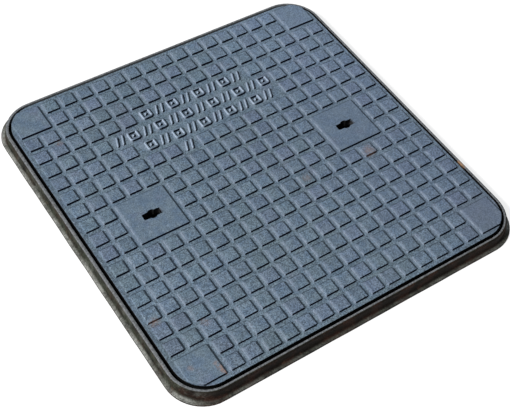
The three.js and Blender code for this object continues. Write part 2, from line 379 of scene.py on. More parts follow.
def corner_pads():
    """The four corner pads, each sunk a little into the plate."""
    shell = Shell()
    inner = column_x(GRID + 1 - PAD_CELLS) - STUD_HALF
    outer = column_x(GRID) + STUD_HALF
    arc = CORNER_RADIUS - 0.5
    sunk = PLATE_TOP - 2.0
    for quarter in range(4):
        turn = quarter_turn(quarter)
        rise = STUD_RISE + random.gauss(0, 0.06)
        rings = [corner_pad_ring(inner, outer, STUD_CORNER, arc, sunk)]
        for outset, share in RELIEF:
            corner = max(STUD_CORNER + outset, 0.6)
            radius = arc + min(outset, 0.0)
            z = PLATE_TOP + rise * share
            ring = corner_pad_ring(inner - outset, outer + outset, corner, radius, z)
            rings.append(ring)
        shell.stack([[tuple(turn @ Vector(p)) for p in ring] for ring in rings])
    return shell.make("corner_pads")


def is_marked(column, row):
    return any(r == row and first <= column <= last for r, first, last, _ in MARK_ROWS)


def cover_body():
    """The plate with its raised squares, its edge and the skirt below it."""
    shell = Shell()
    key_columns = (KEY_COLUMN, GRID + 1 - KEY_COLUMN)
    for row in range(1, GRID + 1):
        for column in range(1, GRID + 1):
            ends = [c <= PAD_CELLS or c > GRID - PAD_CELLS for c in (column, row)]
            near_key = any(abs(column - key) <= 1 for key in key_columns)
            if all(ends) or (near_key and abs(row - MIDDLE) <= 1):
                continue
            if is_marked(column, row):
                shell.faces.append(tuple(shell.meet(cell_border(column, row, 1))))
            else:
                raised_square(shell, column, row)
    for key in key_columns:
        raised_square(shell, key - 1, int(MIDDLE) + 1, KEY_CELLS)
    for quarter in range(4):
        shell.faces.append(tuple(shell.meet(corner_cell(quarter))))

    rings = [shell.meet(band_ring(FIELD_HALF, PLATE_TOP))]
    for inset, drop, uneven in (
        (1.3, 0.0, 0.05), (0.6, 0.12, 0.12), (0.15, 0.5, 0.12), (0.0, 1.1, 0.12), (0.1, 5.0, 0.1),
    ):
        rings.append(shell.ring(band_ring(COVER_HALF - inset, PLATE_TOP - drop, uneven)))
    for inset, lift in ((1.0, 1.3), (1.4, 0.4), (2.2, 0.0), (5.9, 0.0), (6.7, 0.4), (7.0, 1.3)):
        rings.append(shell.ring(band_ring(COVER_HALF - inset, SKIRT_FOOT + lift)))
    for inset, drop in ((7.7, 3.4), (8.3, 1.5), (9.2, 0.5), (10.8, 0.0)):
        rings.append(shell.ring(band_ring(COVER_HALF - inset, PLATE_UNDER - drop)))
    for upper, lower in zip(rings, rings[1:]):
        shell.bridge(lower, upper)
    shell.faces.append(tuple(reversed(rings[-1])))
    return shell.make("cast_cover")


# ---- Marks ----
def framed_mark(shell, x, y, turn):
    """A raised square outline with a small raised square in the middle."""
    path = MARK_HALF - MARK_STROKE / 2
    sides = [(path + MARK_STROKE * out, high) for out, high in MARK_SECTION]
    sides += [(path - MARK_STROKE * out, high) for out, high in reversed(MARK_SECTION)]
    rings = []
    for half, high in sides:
        corner = max(1.0, 2.2 + half - path)
        z = PLATE_TOP + MARK_RISE * high
        rings.append(rounded_square(x, y, half, corner, z, 6, turn))
    shell.hoop(rings)
    pip = [
        rounded_square(x, y, MARK_STROKE * out, 0.7, PLATE_TOP + MARK_RISE * high, 5, turn)
        for out, high in MARK_SECTION
    ]
    shell.stack(pip)


def hatch_mark(shell, x, y, turn):
    """Two raised slanted bars side by side."""
    spin = Matrix.Rotation(math.radians(-20) + turn, 2)
    cap = MARK_HALF - 2.3  # from the middle of a bar to where its round end starts
    steps = 16
    for side in (-1, 1):
        middle = x + side * MARK_HALF / 2
        rings = []
        for out, high in MARK_SECTION:
            r = MARK_STROKE * out
            z = PLATE_TOP + MARK_RISE * high
            bar = []
            for k in range(steps):
                a = math.tau * k / steps
                end = math.copysign(cap, math.sin(a + 0.01))
                at = spin @ Vector((r * math.cos(a), end + r * math.sin(a)))
                bar.append((middle + at.x, y + at.y, z))
            rings.append(bar)
        shell.stack(rings)


def foundry_marks():
    """Rows of plain marks, the two kinds in turn."""
    shell = Shell()
    for row, first, last, count in MARK_ROWS:
        middle = (column_x(first) + column_x(last)) / 2
        for k in range(count):
            x = middle + (k - (count - 1) / 2) * MARK_PITCH + random.gauss(0, 0.25)
            y = row_y(row) + random.gauss(0, 0.3)
            turn = math.radians(random.gauss(0, 0.8))
            mark = framed_mark if (k + row) % 2 == 0 else hatch_mark
            mark(shell, x, y, turn)
    return shell.make("marks")


# ---- Cover, from below ----
def rib(shell, across, along_x):
    """One rib from skirt to skirt, shallower at both ends, where it passes the lip."""
    end = COVER_HALF - 4.0
    slope_start, slope_end = RIB_SLOPE
    stations = [(-end, RIB_END_DEPTH), (-slope_end, RIB_END_DEPTH)]
    steps = 8
    for k in range(1, steps):
        s = k / steps
        ease = s * s * (3 - 2 * s)
        depth = RIB_END_DEPTH + (RIB_DEPTH - RIB_END_DEPTH) * ease
        stations.append((-slope_end + (slope_end - slope_start) * s, depth))
    stations.append((-slope_start, RIB_DEPTH))
    stations += [(-s, depth) for s, depth in reversed(stations)]
    rings = []
    for s, depth in stations:
        right = [(w, PLATE_UNDER - depth * share) for w, share in reversed(RIB_SECTION)]
        left = [(-w, PLATE_UNDER - depth * share) for w, share in RIB_SECTION]
        if along_x:
            rings.append([(s, across + w, z) for w, z in right + left])
        else:
            rings.append([(across - w, s, z) for w, z in right + left])
    shell.stack(rings)


def turned_rings(x, y, profile, steps=SCREW_STEPS):
    """Rings round an upright axis, from a list of radius and height."""
    angles = [math.tau * k / steps for k in range(steps)]
    return [
        [(x + r * math.cos(a), y + r * math.sin(a), z) for a in angles] for r, z in profile
    ]


def ribs(along_x):
    shell = Shell()
    for across in RIBS_ALONG_X if along_x else RIBS_ALONG_Y:
        rib(shell, across, along_x)
    return shell.make("ribs")


def bosses():
    """The keyhole bosses, and the thick spot where each pair of ribs crosses."""
    shell = Shell()
    root = PLATE_UNDER + 0.5
    for x in (-KEY_X, KEY_X):
        profile = ((BOSS_R - 0.8, BOSS_FOOT), (BOSS_R, BOSS_FOOT + 0.5))
        profile += ((BOSS_R + 0.3, BOSS_FOOT + 2.5), (BOSS_R + 1.2, PLATE_UNDER - 0.5))
        profile += ((BOSS_R + 3.0, root),)
        shell.stack(turned_rings(x, 0, profile, ROUND_STEPS))
    for x in RIBS_ALONG_Y:
        for y in RIBS_ALONG_X:
            foot = PLATE_UNDER - RIB_DEPTH + 0.4
            profile = ((4.4, foot), (5.0, foot + 0.5), (6.2, PLATE_UNDER - 2), (8.4, root))
            shell.stack(turned_rings(x, y, profile))
    return shell.make("bosses")


def keyhole_reach(angle):
    """Distance from the keyhole's centre to its edge: a slot with a round middle."""
    half_length, half_width = KEY_SLOT_HALF
    squareness = 9
    across = abs(math.cos(angle)) / half_length
    up = abs(math.sin(angle)) / half_width
    slot = (across**squareness + up**squareness) ** (-1 / squareness)
    return max(slot, KEY_MIDDLE_R)


def key_cuts():
    """What the keyholes and the screw holes take away. Each keyhole's edge is eased."""
    shell = Shell()
    points = 96
    tip = screw_high.z
    for x in (-KEY_X, KEY_X):
        rings = []
        for z, wide in (
            (BOSS_FOOT - 1, 0.0), (PATTERN_TOP - 1.0, 0.05), (PATTERN_TOP - 0.4, 0.2),
            (PATTERN_TOP - 0.05, 0.6), (PATTERN_TOP + 2.0, 2.2),
        ):
            ring = []
            for k in range(points):
                a = math.tau * k / points
                rough = wander(8 * math.cos(a), 8 * math.sin(a), x, 3.0, 0.35)
                r = keyhole_reach(a) + wide + rough
                ring.append((x + r * math.cos(a), r * math.sin(a), z))
            rings.append(ring)
        shell.stack(rings)
        for y in (-SCREW_RING_R, SCREW_RING_R):
            profile = ((SCREW_HOLE_R, BOSS_FOOT - 1), (SCREW_HOLE_R, tip + 0.2), (1.0, tip + 0.8))
            shell.stack(turned_rings(x, y, profile))
    return shell.make("cuts")


def make_cover():
    cover = cover_body()
    cover.name = "cover_casting"
    for more in (ribs(True), ribs(False), bosses(), corner_pads(), foundry_marks()):
        combine(cover, more, "UNION")
    combine(cover, key_cuts(), "DIFFERENCE")
    smooth(cover, 42)
    return cover


# ---- Frame and seal ----
def frame_profile():
    """Half side, height, unevenness and tightness, anticlockwise from the lip's foot."""
    profile = [(OPENING + 0.8, 0.0, 0.0, 0.0)]
    for inset, z, uneven in (
        (1.6, 0.0, 0.2), (0.6, 0.15, 0.4), (0.1, 0.7, 0.5), (0.0, 1.6, 0.5),
        (0.0, 2.7, 0.5), (0.25, 3.4, 0.5), (0.8, 3.85, 0.4), (1.7, 4.05, 0.4),
    ):
        profile.append((TOE_HALF - inset, z, uneven, TOE_TIGHTER))
    cove_top, cove_radius, cove_turn, steps = 8.6, 4.5, 80, 7
    cove_foot = RIM + 0.4
    for k in range(steps, -1, -1):
        share = k / steps
        turn = math.radians(cove_turn * share)
        half = cove_foot + cove_radius * (1 - math.cos(turn))
        z = cove_top - cove_radius * math.sin(turn)
        profile.append((half, z, 0.35, TOE_TIGHTER * share))
    for half, z, uneven in (
        (RIM + 0.25, 13.0, 0.35), (RIM + 0.1, 17.0, 0.3),
        (RIM, RIM_TOP - 3.6, 0.25), (RIM - 0.25, RIM_TOP - 2.3, 0.2),
        (RIM - 0.9, RIM_TOP - 1.15, 0.2), (RIM - 1.9, RIM_TOP - 0.4, 0.15),
        (RIM - 3.1, RIM_TOP - 0.05, 0.1), (POCKET + 0.7, RIM_TOP, 0.1),
        (POCKET + 0.15, RIM_TOP - 0.2, 0.15), (POCKET, RIM_TOP - 0.8, 0.15),
        (POCKET, CHANNEL_FLOOR + 2.0, 0.1), (POCKET - 0.3, CHANNEL_FLOOR + 0.7, 0.1),
        (POCKET - 1.2, CHANNEL_FLOOR, 0.0), (LIP_OUTER + 1.2, CHANNEL_FLOOR, 0.0),
        (LIP_OUTER + 0.3, CHANNEL_FLOOR + 0.7, 0.1), (LIP_OUTER - 0.1, LIP_TOP - 1.2, 0.15),
        (LIP_OUTER - 0.7, LIP_TOP - 0.3, 0.15), (LIP_OUTER - 1.5, LIP_TOP, 0.15),
        (OPENING + 1.3, LIP_TOP, 0.15), (OPENING + 0.4, LIP_TOP - 0.4, 0.15),
        (OPENING + 0.1, LIP_TOP - 1.4, 0.15), (OPENING, 1.0, 0.1),
    ):
        profile.append((half, z, uneven, 0.0))
    return profile


def make_frame():
    shell = Shell()
    shell.hoop([
        band_ring(half, z, uneven, 55.0, tighter)
        for half, z, uneven, tighter in frame_profile()
    ])
    made = shell.make("frame_casting")
    smooth(made, 50)
    return made


def make_seal():
    outer, high = seal_high.x, seal_high.z
    inner = outer - SEAL_WIDTH
    profile = (
        (inner + 0.4, CHANNEL_FLOOR), (outer - 0.4, CHANNEL_FLOOR), (outer, CHANNEL_FLOOR + 0.4),
        (outer, high - 0.9), (outer - 0.3, high - 0.3), (outer - 0.9, high),
        (inner + 0.9, high), (inner + 0.3, high - 0.3), (inner, high - 0.9),
        (inner, CHANNEL_FLOOR + 0.4),
    )
    shell = Shell()
    shell.hoop([band_ring(half, z) for half, z in profile])
    made = shell.make("seal_strip")
    smooth(made, 40)
    return made


# ---- Keyway cups and their screws ----
def make_cup(name, x):
    """A pressed cup with a rolled flange, drilled for two screws."""
    floor, top = cup_low.z, cup_high.z
    under = top - CUP_SHEET
    flange = (cup_high.x - cup_low.x) / 2
    middle = 2.0  # the smallest ring of the floor, which is closed by one face
    profile = [(middle, floor), (CUP_BODY_R - CUP_BEND_R, floor)]
    quarter = [math.radians(a) for a in (22.5, 45, 67.5, 90)]
    for a in quarter:
        r = CUP_BODY_R - CUP_BEND_R * (1 - math.sin(a))
        profile.append((r, floor + CUP_BEND_R * (1 - math.cos(a))))
    profile += [(CUP_BODY_R, under - 1.2), (CUP_BODY_R + 0.3, under - 0.4), (CUP_BODY_R + 1.1, under)]
    profile += [(flange - 0.5, under), (flange, under + 0.5), (flange, top - 0.4)]
    profile += [(flange - 0.4, top), (CUP_BODY_R + 0.6, top)]
    inner = CUP_BODY_R - CUP_SHEET
    profile += [(inner + 0.9, top - 0.3), (inner + 0.2, top - 1.1), (inner, top - 2.4)]
    tight = CUP_BEND_R - CUP_SHEET
    for a in reversed(quarter):
        r = inner - tight * (1 - math.sin(a))
        profile.append((r, floor + CUP_SHEET + tight * (1 - math.cos(a))))
    profile.append((middle, floor + CUP_SHEET))
    shell = Shell()
    shell.stack(turned_rings(x, 0, profile, ROUND_STEPS))
    cup = shell.make(name)
    holes = Shell()
    through = ((SCREW_HOLE_R, under - 1), (SCREW_HOLE_R, top + 1))
    for y in (-SCREW_RING_R, SCREW_RING_R):
        holes.stack(turned_rings(x, y, through))
    combine(cup, holes.make("cup_holes"), "DIFFERENCE")
    smooth(cup, 35)
    return cup


def hexagon_ring(x, y, reach, z, turn):
    """Points on a hexagon of this corner radius."""
    ring = []
    for k in range(SCREW_STEPS):
        a = math.tau * k / SCREW_STEPS
        r = reach * math.cos(math.pi / 6) / math.cos((a % (math.pi / 3)) - math.pi / 6)
        ring.append((x + r * math.cos(a + turn), y + r * math.sin(a + turn), z))
    return ring


def make_screw(name, x, y):
    """A hexagon-headed screw with a washer face, head down."""
    seat = cup_high.z - CUP_SHEET
    head = screw_low.z
    tip = screw_high.z
    turn = random.uniform(0, math.tau)
    hexagon = SCREW_HEAD_R - 0.3
    end = ((3.0, head), (3.7, head + 0.15))
    washer = ((SCREW_HEAD_R - 0.1, seat - 0.8), (SCREW_HEAD_R, seat - 0.4), (SCREW_HEAD_R - 0.05, seat))
    shank = ((SCREW_SHANK_R, seat), (SCREW_SHANK_R, tip - 0.6), (SCREW_SHANK_R - 0.6, tip))
    rings = turned_rings(x, y, end)
    rings.append(hexagon_ring(x, y, hexagon, head + 0.6, turn))
    rings.append(hexagon_ring(x, y, hexagon, seat - 0.9, turn))
    rings += turned_rings(x, y, washer + shank)
    shell = Shell()
    shell.stack(rings)
    made = shell.make(name)
    smooth(made, 30)
    return made


# ---- Materials ----
def rgb(red, green, blue):
    return (red, green, blue, 1.0)


def grey(value):
    return rgb(value, value, value)


# Painted shade: the near-black put on surfaces down in the gaps and the keyholes.
PAINTED_GAP_SHADE = grey(0.003)


class Look:
    """A material's node tree, with short calls for the nodes it uses."""

    def __init__(self, name):
        self.material = bpy.data.materials.new(name)
        self.material.use_nodes = True
        self.nodes = self.material.node_tree.nodes
        self.links = self.material.node_tree.links
        self.surface = self.nodes["Principled BSDF"]
        self.colour = None
        coordinates = self.node("ShaderNodeTexCoord")
        self.where = coordinates.outputs["Object"]
        self.x, self.y, self.z = self.parts(self.where)
        self.facing = self.parts(coordinates.outputs["Normal"])

    def node(self, kind, **settings):
        made = self.nodes.new(kind)
        for key, value in settings.items():
            setattr(made, key, value)
        return made

    def parts(self, vector):
        made = self.node("ShaderNodeSeparateXYZ")
        self.links.new(vector, made.inputs[0])
        return [made.outputs[axis] for axis in "XYZ"]

    def feed(self, socket, value):
        if isinstance(value, bpy.types.NodeSocket):
            self.links.new(value, socket)
        else:
            socket.default_value = value

    def noise(self, size_mm, detail=3.0, rough=0.55, seed=0.0):
        """Noise whose blotches are about size_mm across."""
        made = self.node("ShaderNodeTexNoise", noise_dimensions="4D")
        self.links.new(self.where, made.inputs["Vector"])
        made.inputs["W"].default_value = seed
        made.inputs["Scale"].default_value = 1 / (size_mm * MM)
        made.inputs["Detail"].default_value = detail
        made.inputs["Roughness"].default_value = rough
        return made.outputs["Fac"]

    def spread(self, value, low, high, to_low=0.0, to_high=1.0):
        """value from low..high, mapped to to_low..to_high and held there."""
        made = self.node("ShaderNodeMapRange", interpolation_type="SMOOTHSTEP")
        for socket, given in zip(made.inputs, (value, low, high, to_low, to_high)):
            self.feed(socket, given)
        return made.outputs["Result"]

    def height(self, start_mm, end_mm, at_start=0.0, at_end=1.0):
        """at_start up to one height above the ground, changing to at_end at the other."""
        return self.spread(self.z, start_mm * MM, end_mm * MM, at_start, at_end)

    def calc(self, operation, a, b=0.0):
        """One step of arithmetic, named as Blender's Math node names it."""
        made = self.node("ShaderNodeMath", operation=operation)
        self.feed(made.inputs[0], a)
        self.feed(made.inputs[1], b)
        return made.outputs["Value"]

    def product(self, *values):
        total = values[0]
        for value in values[1:]:
            total = self.calc("MULTIPLY", total, value)
        return total

    def blend(self, share, first, second, kind="MIX"):
        made = self.node("ShaderNodeMix", data_type="RGBA", blend_type=kind)
        colour = [s for s in made.inputs if s.type == "RGBA"]
        self.feed(made.inputs["Factor"], share)
        self.feed(colour[0], first)
        self.feed(colour[1], second)
        return [s for s in made.outputs if s.type == "RGBA"][0]

    def mottle(self, value, low, high, first, second):
        """Start with one colour where value is low, turning to another where it is high."""
        self.colour = self.blend(self.spread(value, low, high), first, second)

    def coat(self, share, colour):
        """Cover a share of the colour so far with another."""
        self.colour = self.blend(share, self.colour, colour)

    def shade(self, factor):
        """Make the colour so far lighter or darker."""
        self.colour = self.blend(1.0, self.colour, factor, "MULTIPLY")

    def half_side(self):
        """Half the side of the cover's own kind of outline that passes through here."""
        gaps = []
        for axis in (self.x, self.y):
            size = self.calc("ABSOLUTE", axis)
            past = self.calc("SUBTRACT", size, CORNER * MM)
            gap = self.calc("MAXIMUM", past)
            gaps.append(self.product(gap, gap))
        reach = self.calc("SQRT", self.calc("ADD", *gaps))
        return self.calc("ADD", reach, CORNER * MM)

    def per_cell(self, seed):
        """0 to 1, picked at random for each cell of the raised pattern."""
        cell = self.node("ShaderNodeCombineXYZ")
        for axis, socket in ((self.x, cell.inputs[0]), (self.y, cell.inputs[1])):
            share = self.calc("DIVIDE", axis, PITCH * MM)
            self.feed(socket, self.calc("ROUND", share))
        cell.inputs[2].default_value = seed
        picked = self.node("ShaderNodeTexWhiteNoise", noise_dimensions="3D")
        self.links.new(cell.outputs[0], picked.inputs["Vector"])
        return picked.outputs["Value"]

    def on_pads(self):
        """1 over the corner pads and the keyhole pads, and 0 over the single squares."""
        across = self.calc("ABSOLUTE", self.x)
        along = self.calc("ABSOLUTE", self.y)
        corner = self.calc("GREATER_THAN", self.calc("MINIMUM", across, along), PAD_START * MM)
        from_key = self.calc("ABSOLUTE", self.calc("SUBTRACT", across, KEY_X * MM))
        reach = self.calc("MAXIMUM", from_key, along)
        key = self.calc("LESS_THAN", reach, KEY_CELLS * PITCH / 2 * MM)
        return self.calc("MAXIMUM", corner, key)

    def outward(self):
        """More than 0 on faces that look away from the middle, less on those that look in."""
        return self.calc(
            "ADD", self.product(self.x, self.facing[0]), self.product(self.y, self.facing[1])
        )

    def near(self, x, y, z, reach_mm):
        """1 at this place, falling to 0 at reach_mm from it."""
        gap = self.node("ShaderNodeVectorMath", operation="DISTANCE")
        self.links.new(self.where, gap.inputs[0])
        gap.inputs[1].default_value = (x * MM, y * MM, z * MM)
        return self.spread(gap.outputs["Value"], reach_mm * MM, reach_mm * MM * 0.2)

    def bump(self, height, depth_mm, strength, under=None):
        made = self.node("ShaderNodeBump")
        made.inputs["Distance"].default_value = depth_mm * MM
        made.inputs["Strength"].default_value = strength
        self.links.new(height, made.inputs["Height"])
        if under is not None:
            self.links.new(under, made.inputs["Normal"])
        return made.outputs["Normal"]

    def finish(self, roughness, metallic, normal=None, specular=0.5):
        self.feed(self.surface.inputs["Base Color"], self.colour)
        self.feed(self.surface.inputs["Roughness"], roughness)
        self.feed(self.surface.inputs["Metallic"], metallic)
        self.feed(self.surface.inputs["Specular IOR Level"], specular)
        if normal is not None:
            self.links.new(normal, self.surface.inputs["Normal"])
        return self.material


def speckled_coating(look, patch, sand):
    """Blue-grey coating, with a tone of its own on each single square."""
    broad = look.noise(110, 3, 0.6, 1.0)
    warm = look.noise(40, 4, 0.6, 6.0)
    speck = look.noise(2.4, 2, 0.6, 4.0)
    look.mottle(patch, 0.36, 0.64, rgb(0.078, 0.117, 0.160), rgb(0.100, 0.139, 0.170))
    look.coat(look.spread(broad, 0.48, 0.68, 0, 0.5), rgb(0.080, 0.115, 0.125))
    look.coat(look.spread(warm, 0.54, 0.72, 0, 0.5), rgb(0.108, 0.122, 0.170))
    pads = look.on_pads()
    single = look.product(
        look.height(PLATE_TOP + 2.0, PLATE_TOP + 3.0), look.calc("SUBTRACT", 1.0, pads)
    )
    greener = look.product(look.spread(look.per_cell(1.0), 0.35, 1.0, 0, 0.35), single)
    look.coat(greener, rgb(0.082, 0.126, 0.142))
    bluer = look.product(look.spread(look.per_cell(2.0), 0.5, 1.0, 0, 0.4), single)
    look.coat(bluer, rgb(0.098, 0.120, 0.180))
    own_tone = look.spread(look.per_cell(3.0), 0, 1, 0.93, 1.08)
    look.shade(look.blend(single, grey(1), own_tone))

    right = look.spread(look.x, 0.0, 0.3, 0, 0.4)
    look.coat(right, rgb(0.086, 0.118, 0.182))
    # A darker patch towards the +X -Y corner.
    dark_patch = look.product(look.near(280, -275, PATTERN_TOP, 70.0), 0.35)
    look.coat(dark_patch, rgb(0.098, 0.108, 0.135))
    low = look.height(PLATE_TOP + 1.5, PLATE_TOP + 0.3)
    left = look.spread(look.x, -0.05, -0.3)
    # Channels a little bluer, more so towards -X, where the tint is a painted reflection of the sky.
    channel = look.product(low, look.spread(left, 0, 1, 0.1, 0.3))
    look.coat(channel, rgb(0.090, 0.130, 0.188))
    border = look.product(look.spread(look.x, -0.306, -0.31), low)
    look.shade(look.spread(border, 0, 1, 1.0, 0.78))
    look.shade(look.blend(low, rgb(0.98, 0.98, 1.04), grey(1)))
    # Painted light: lighter towards the +X +Y corner.
    away = look.calc("ADD", look.x, look.y)
    look.shade(look.spread(away, 0.15, 0.6, 1.0, 1.25))

    smoother = look.product(pads, 0.25)
    darkest = look.calc("ADD", smoother, 0.36)
    lightest = look.calc("SUBTRACT", 1.64, smoother)
    look.shade(look.spread(sand, 0.36, 0.64, darkest, lightest))
    glint = look.calc("ADD", look.spread(left, 0, 1, 0.4, 0.6), look.product(low, 0.2))
    bright = look.product(look.spread(speck, 0.62, 0.72), glint)
    look.coat(bright, rgb(0.28, 0.35, 0.43))


def mark_heights(look):
    """1 from a little above the plate to the tops of the marks, and 0 elsewhere."""
    mark_top = PLATE_TOP + MARK_RISE
    return look.product(
        look.height(PLATE_TOP + 0.4, PLATE_TOP + 1.2), look.height(mark_top + 0.3, mark_top + 0.1)
    )


def shaded_sides(look, steep):
    """Where sides, feet and edges that face away from -X are nearly black: painted shade, and black
    coat.
    """
    face_x, face_y, _ = look.facing
    # Sides that face away from -X: their black coat, with painted shade.
    wall = look.product(steep, look.spread(face_x, -0.75, -0.25))
    # Painted shadow at the feet, on the sides away from -X.
    foot = look.product(
        look.height(PLATE_TOP + 0.08, PLATE_TOP + 0.18),
        look.height(PLATE_TOP + 1.6, PLATE_TOP + 1.0),
        look.spread(face_x, -0.3, -0.02),
        0.9,
    )
    # Painted shade on the edges of the tops that face +X and +Y.
    far_edge = look.product(
        look.spread(look.calc("MAXIMUM", face_x, face_y), 0.03, 0.18),
        look.spread(face_x, -0.5, -0.1),
        look.height(PLATE_TOP + 0.5, PLATE_TOP + 1.5),
        0.68,
    )
    # Painted shade on the marks' sides and edges that face +X and -Y.
    mark_edge = look.product(
        mark_heights(look),
        look.spread(look.calc("SUBTRACT", face_x, face_y), 0.06, 0.22),
        look.spread(face_x, -0.3, 0.0),
        0.85,
    )
    dark = look.calc("MAXIMUM", wall, foot)
    dark = look.calc("MAXIMUM", dark, far_edge)
    return look.calc("MAXIMUM", dark, mark_edge)


def painted_highlights(look):
    """Painted highlights where the light from -X falls: on sides towards -X, their edges and the marks.
    """
    face_x, face_y, face_z = look.facing
    # Patches that break the painted highlights into strips of different strength.
    patchy = look.spread(look.noise(6, 4, 0.7, 7.0), 0.38, 0.6, 0.05, 1.0)
    inside_border = look.spread(look.x, -0.285, -0.3, 1.0, 0.1)
    # Painted highlight on the top edges that face -X.
    lit_edge = look.product(
        look.spread(face_x, -0.012, -0.06), look.spread(face_z, 0.8, 0.95), inside_border, 0.33
    )
    look.coat(lit_edge, rgb(0.155, 0.19, 0.25))
    # Painted highlight on the sides that face -X, where the light falls.
    lit_side = look.product(
        look.spread(face_z, 0.97, 0.8),
        look.spread(face_x, -0.2, -0.6),
        patchy,
        inside_border,
        look.height(PLATE_TOP + 0.1, PLATE_TOP + 0.6),
        look.height(PLATE_TOP + 2.0, PLATE_TOP + 3.2, 1.0, 0.3),
    )
    look.coat(lit_side, rgb(0.185, 0.22, 0.28))
    # Painted highlight on the marks, most on their sides that face -X.
    on_mark = look.product(
        mark_heights(look),
        look.spread(face_z, 0.3, 0.75),
        look.spread(look.calc("SUBTRACT", face_x, face_y), 0.2, 0.0),
        look.spread(face_x, 0.0, -0.4, 0.2, 0.95),
    )
    look.coat(on_mark, rgb(0.29, 0.355, 0.45))


def cover_rust(look):
    """A few faint spots of rust."""
    rust = 0.0
    top, low = PATTERN_TOP, PLATE_TOP
    for x, y, z, reach, strength in (
        (-258, -288, top, 7.0, 0.35), (-256, -296, top, 7.0, 0.55),
        (-254, -303, top, 7.0, 0.6), (-252, -309, top, 6.0, 0.4),
        (-295, -276, top, 8.0, 0.25), (-299, -180, low, 14.0, 0.3),
        (-233, -219, low, 12.0, 0.28), (-258, 212, top, 11.0, 0.3),
        (197, -70, top, 17.0, 0.34), (column_x(12), row_y(12), top, 12.0, 0.2),
    ):
        rust = look.calc("ADD", look.product(look.near(x, y, z, reach), strength), rust)
    rust = look.product(rust, look.spread(look.noise(4, 4, 0.7, 8.0), 0.36, 0.56))
    look.coat(rust, rgb(0.26, 0.14, 0.09))


def cover_look():
    """Weathered coating on a sand casting: speckled where it faces up, painted highlights on one side,
    painted shade, nearly black, on its other sides, in the gap and keyholes, and black underneath."""
    look = Look("cover_iron")
    patch = look.noise(15, 4, 0.6, 2.0)
    sand = look.noise(1.8, 4, 0.7, 3.0)
    speckled_coating(look, patch, sand)
    steep = look.spread(look.facing[2], 0.98, 0.7)
    # Painted shade, nearly black, on the sides, feet and edges away from the light at -X.
    dark = shaded_sides(look, steep)
    look.coat(dark, rgb(0.004, 0.006, 0.011))
    # Painted highlights on the sides towards the light at -X.
    painted_highlights(look)
    under = look.height(PLATE_TOP - 0.05, PLATE_TOP - 0.3)
    cloudy = look.spread(patch, 0.35, 0.65)
    paint = look.blend(cloudy, rgb(0.020, 0.020, 0.021), rgb(0.048, 0.049, 0.052))
    look.coat(under, paint)
    # Painted shade, nearly black, on the cover's outer side down in the gap.
    in_gap = look.product(
        under, look.spread(look.outward(), 0.1, 0.2), look.height(PLATE_TOP - 9.5, PLATE_TOP - 6.5)
    )
    look.coat(in_gap, PAINTED_GAP_SHADE)
    # Painted shade, nearly black, down the sides of each keyhole.
    for x in (-KEY_X, KEY_X):
        in_hole = look.product(look.near(x, 0, PLATE_TOP, 30.0), steep)
        look.coat(in_hole, PAINTED_GAP_SHADE)
    cover_rust(look)

    rough = look.calc(
        "ADD", look.spread(patch, 0.3, 0.7, 0.48, 0.6), look.spread(sand, 0.3, 0.7, -0.06, 0.1)
    )
    dull = look.calc("MAXIMUM", in_gap, dark)
    rough = look.calc("MAXIMUM", rough, look.product(dull, 0.95))
    normal = look.bump(look.noise(7, 3, 0.6, 9.0), 0.3, 0.4)
    normal = look.bump(sand, 0.4, 0.8, normal)
    return look.finish(rough, 0.1, normal, look.spread(dull, 0, 1, 0.5, 0.03))


def frame_metal(look, patch):
    """Dark iron, browner on the side towards -Y and smeared with grey towards -X."""
    face_x, face_y, _ = look.facing
    brown = look.noise(30, 4, 0.6, 14.0)
    look.mottle(patch, 0.38, 0.62, rgb(0.007, 0.007, 0.005), rgb(0.024, 0.027, 0.019))
    toward_y = look.spread(face_y, -0.2, -0.7, 0.0, 0.85)
    look.coat(toward_y, rgb(0.006, 0.0035, 0.0025))
    brown_share = look.product(
        look.spread(brown, 0.46, 0.62), look.spread(toward_y, 0, 0.85, 0.3, 0.7)
    )
    look.coat(brown_share, rgb(0.027, 0.012, 0.008))
    smear = look.product(
        look.spread(face_x, -0.2, -0.7),
        look.spread(look.noise(22, 4, 0.7, 19.0), 0.5, 0.64, 0.0, 0.42),
    )
    look.coat(smear, rgb(0.085, 0.088, 0.078))


def toe_dust_and_shade(look, patch):
    """Dust on the toe, most at its edge and on the sides along Y, in patches, and painted shade by the
    wall.
    """
    size_x = look.calc("ABSOLUTE", look.x)
    size_y = look.calc("ABSOLUTE", look.y)
    bare = look.spread(look.noise(34, 4, 0.65, 18.0), 0.42, 0.58)
    return look.product(
        look.height(9.0, 5.0),
        look.spread(look.facing[2], 0.4, 0.95),
        # Less towards the wall: less dust there, and painted shade in the corner where toe meets wall.
        look.spread(look.half_side(), (RIM + 0.8) * MM, (TOE_HALF - 2.2) * MM, 0.15, 1.0),
        look.spread(patch, 0.3, 0.6, 0.6, 1.0),
        look.spread(look.calc("SUBTRACT", size_x, size_y), -0.03, 0.03, 0.28, 1.0),
        look.spread(bare, 0, 1, 1.1, 0.5),
    )


def rim_share(look):
    """1 on top of the rim, further down its side towards -X and less far towards -Y."""
    face_x, face_y, face_z = look.facing
    lift = look.calc("SUBTRACT", face_z, look.product(look.calc("MINIMUM", face_x), 0.35))
    lift = look.calc("ADD", lift, look.product(look.calc("MINIMUM", face_y), 0.6))
    return look.product(look.spread(lift, 0.72, 0.97), look.height(RIM_TOP - 4.5, RIM_TOP - 3.2))


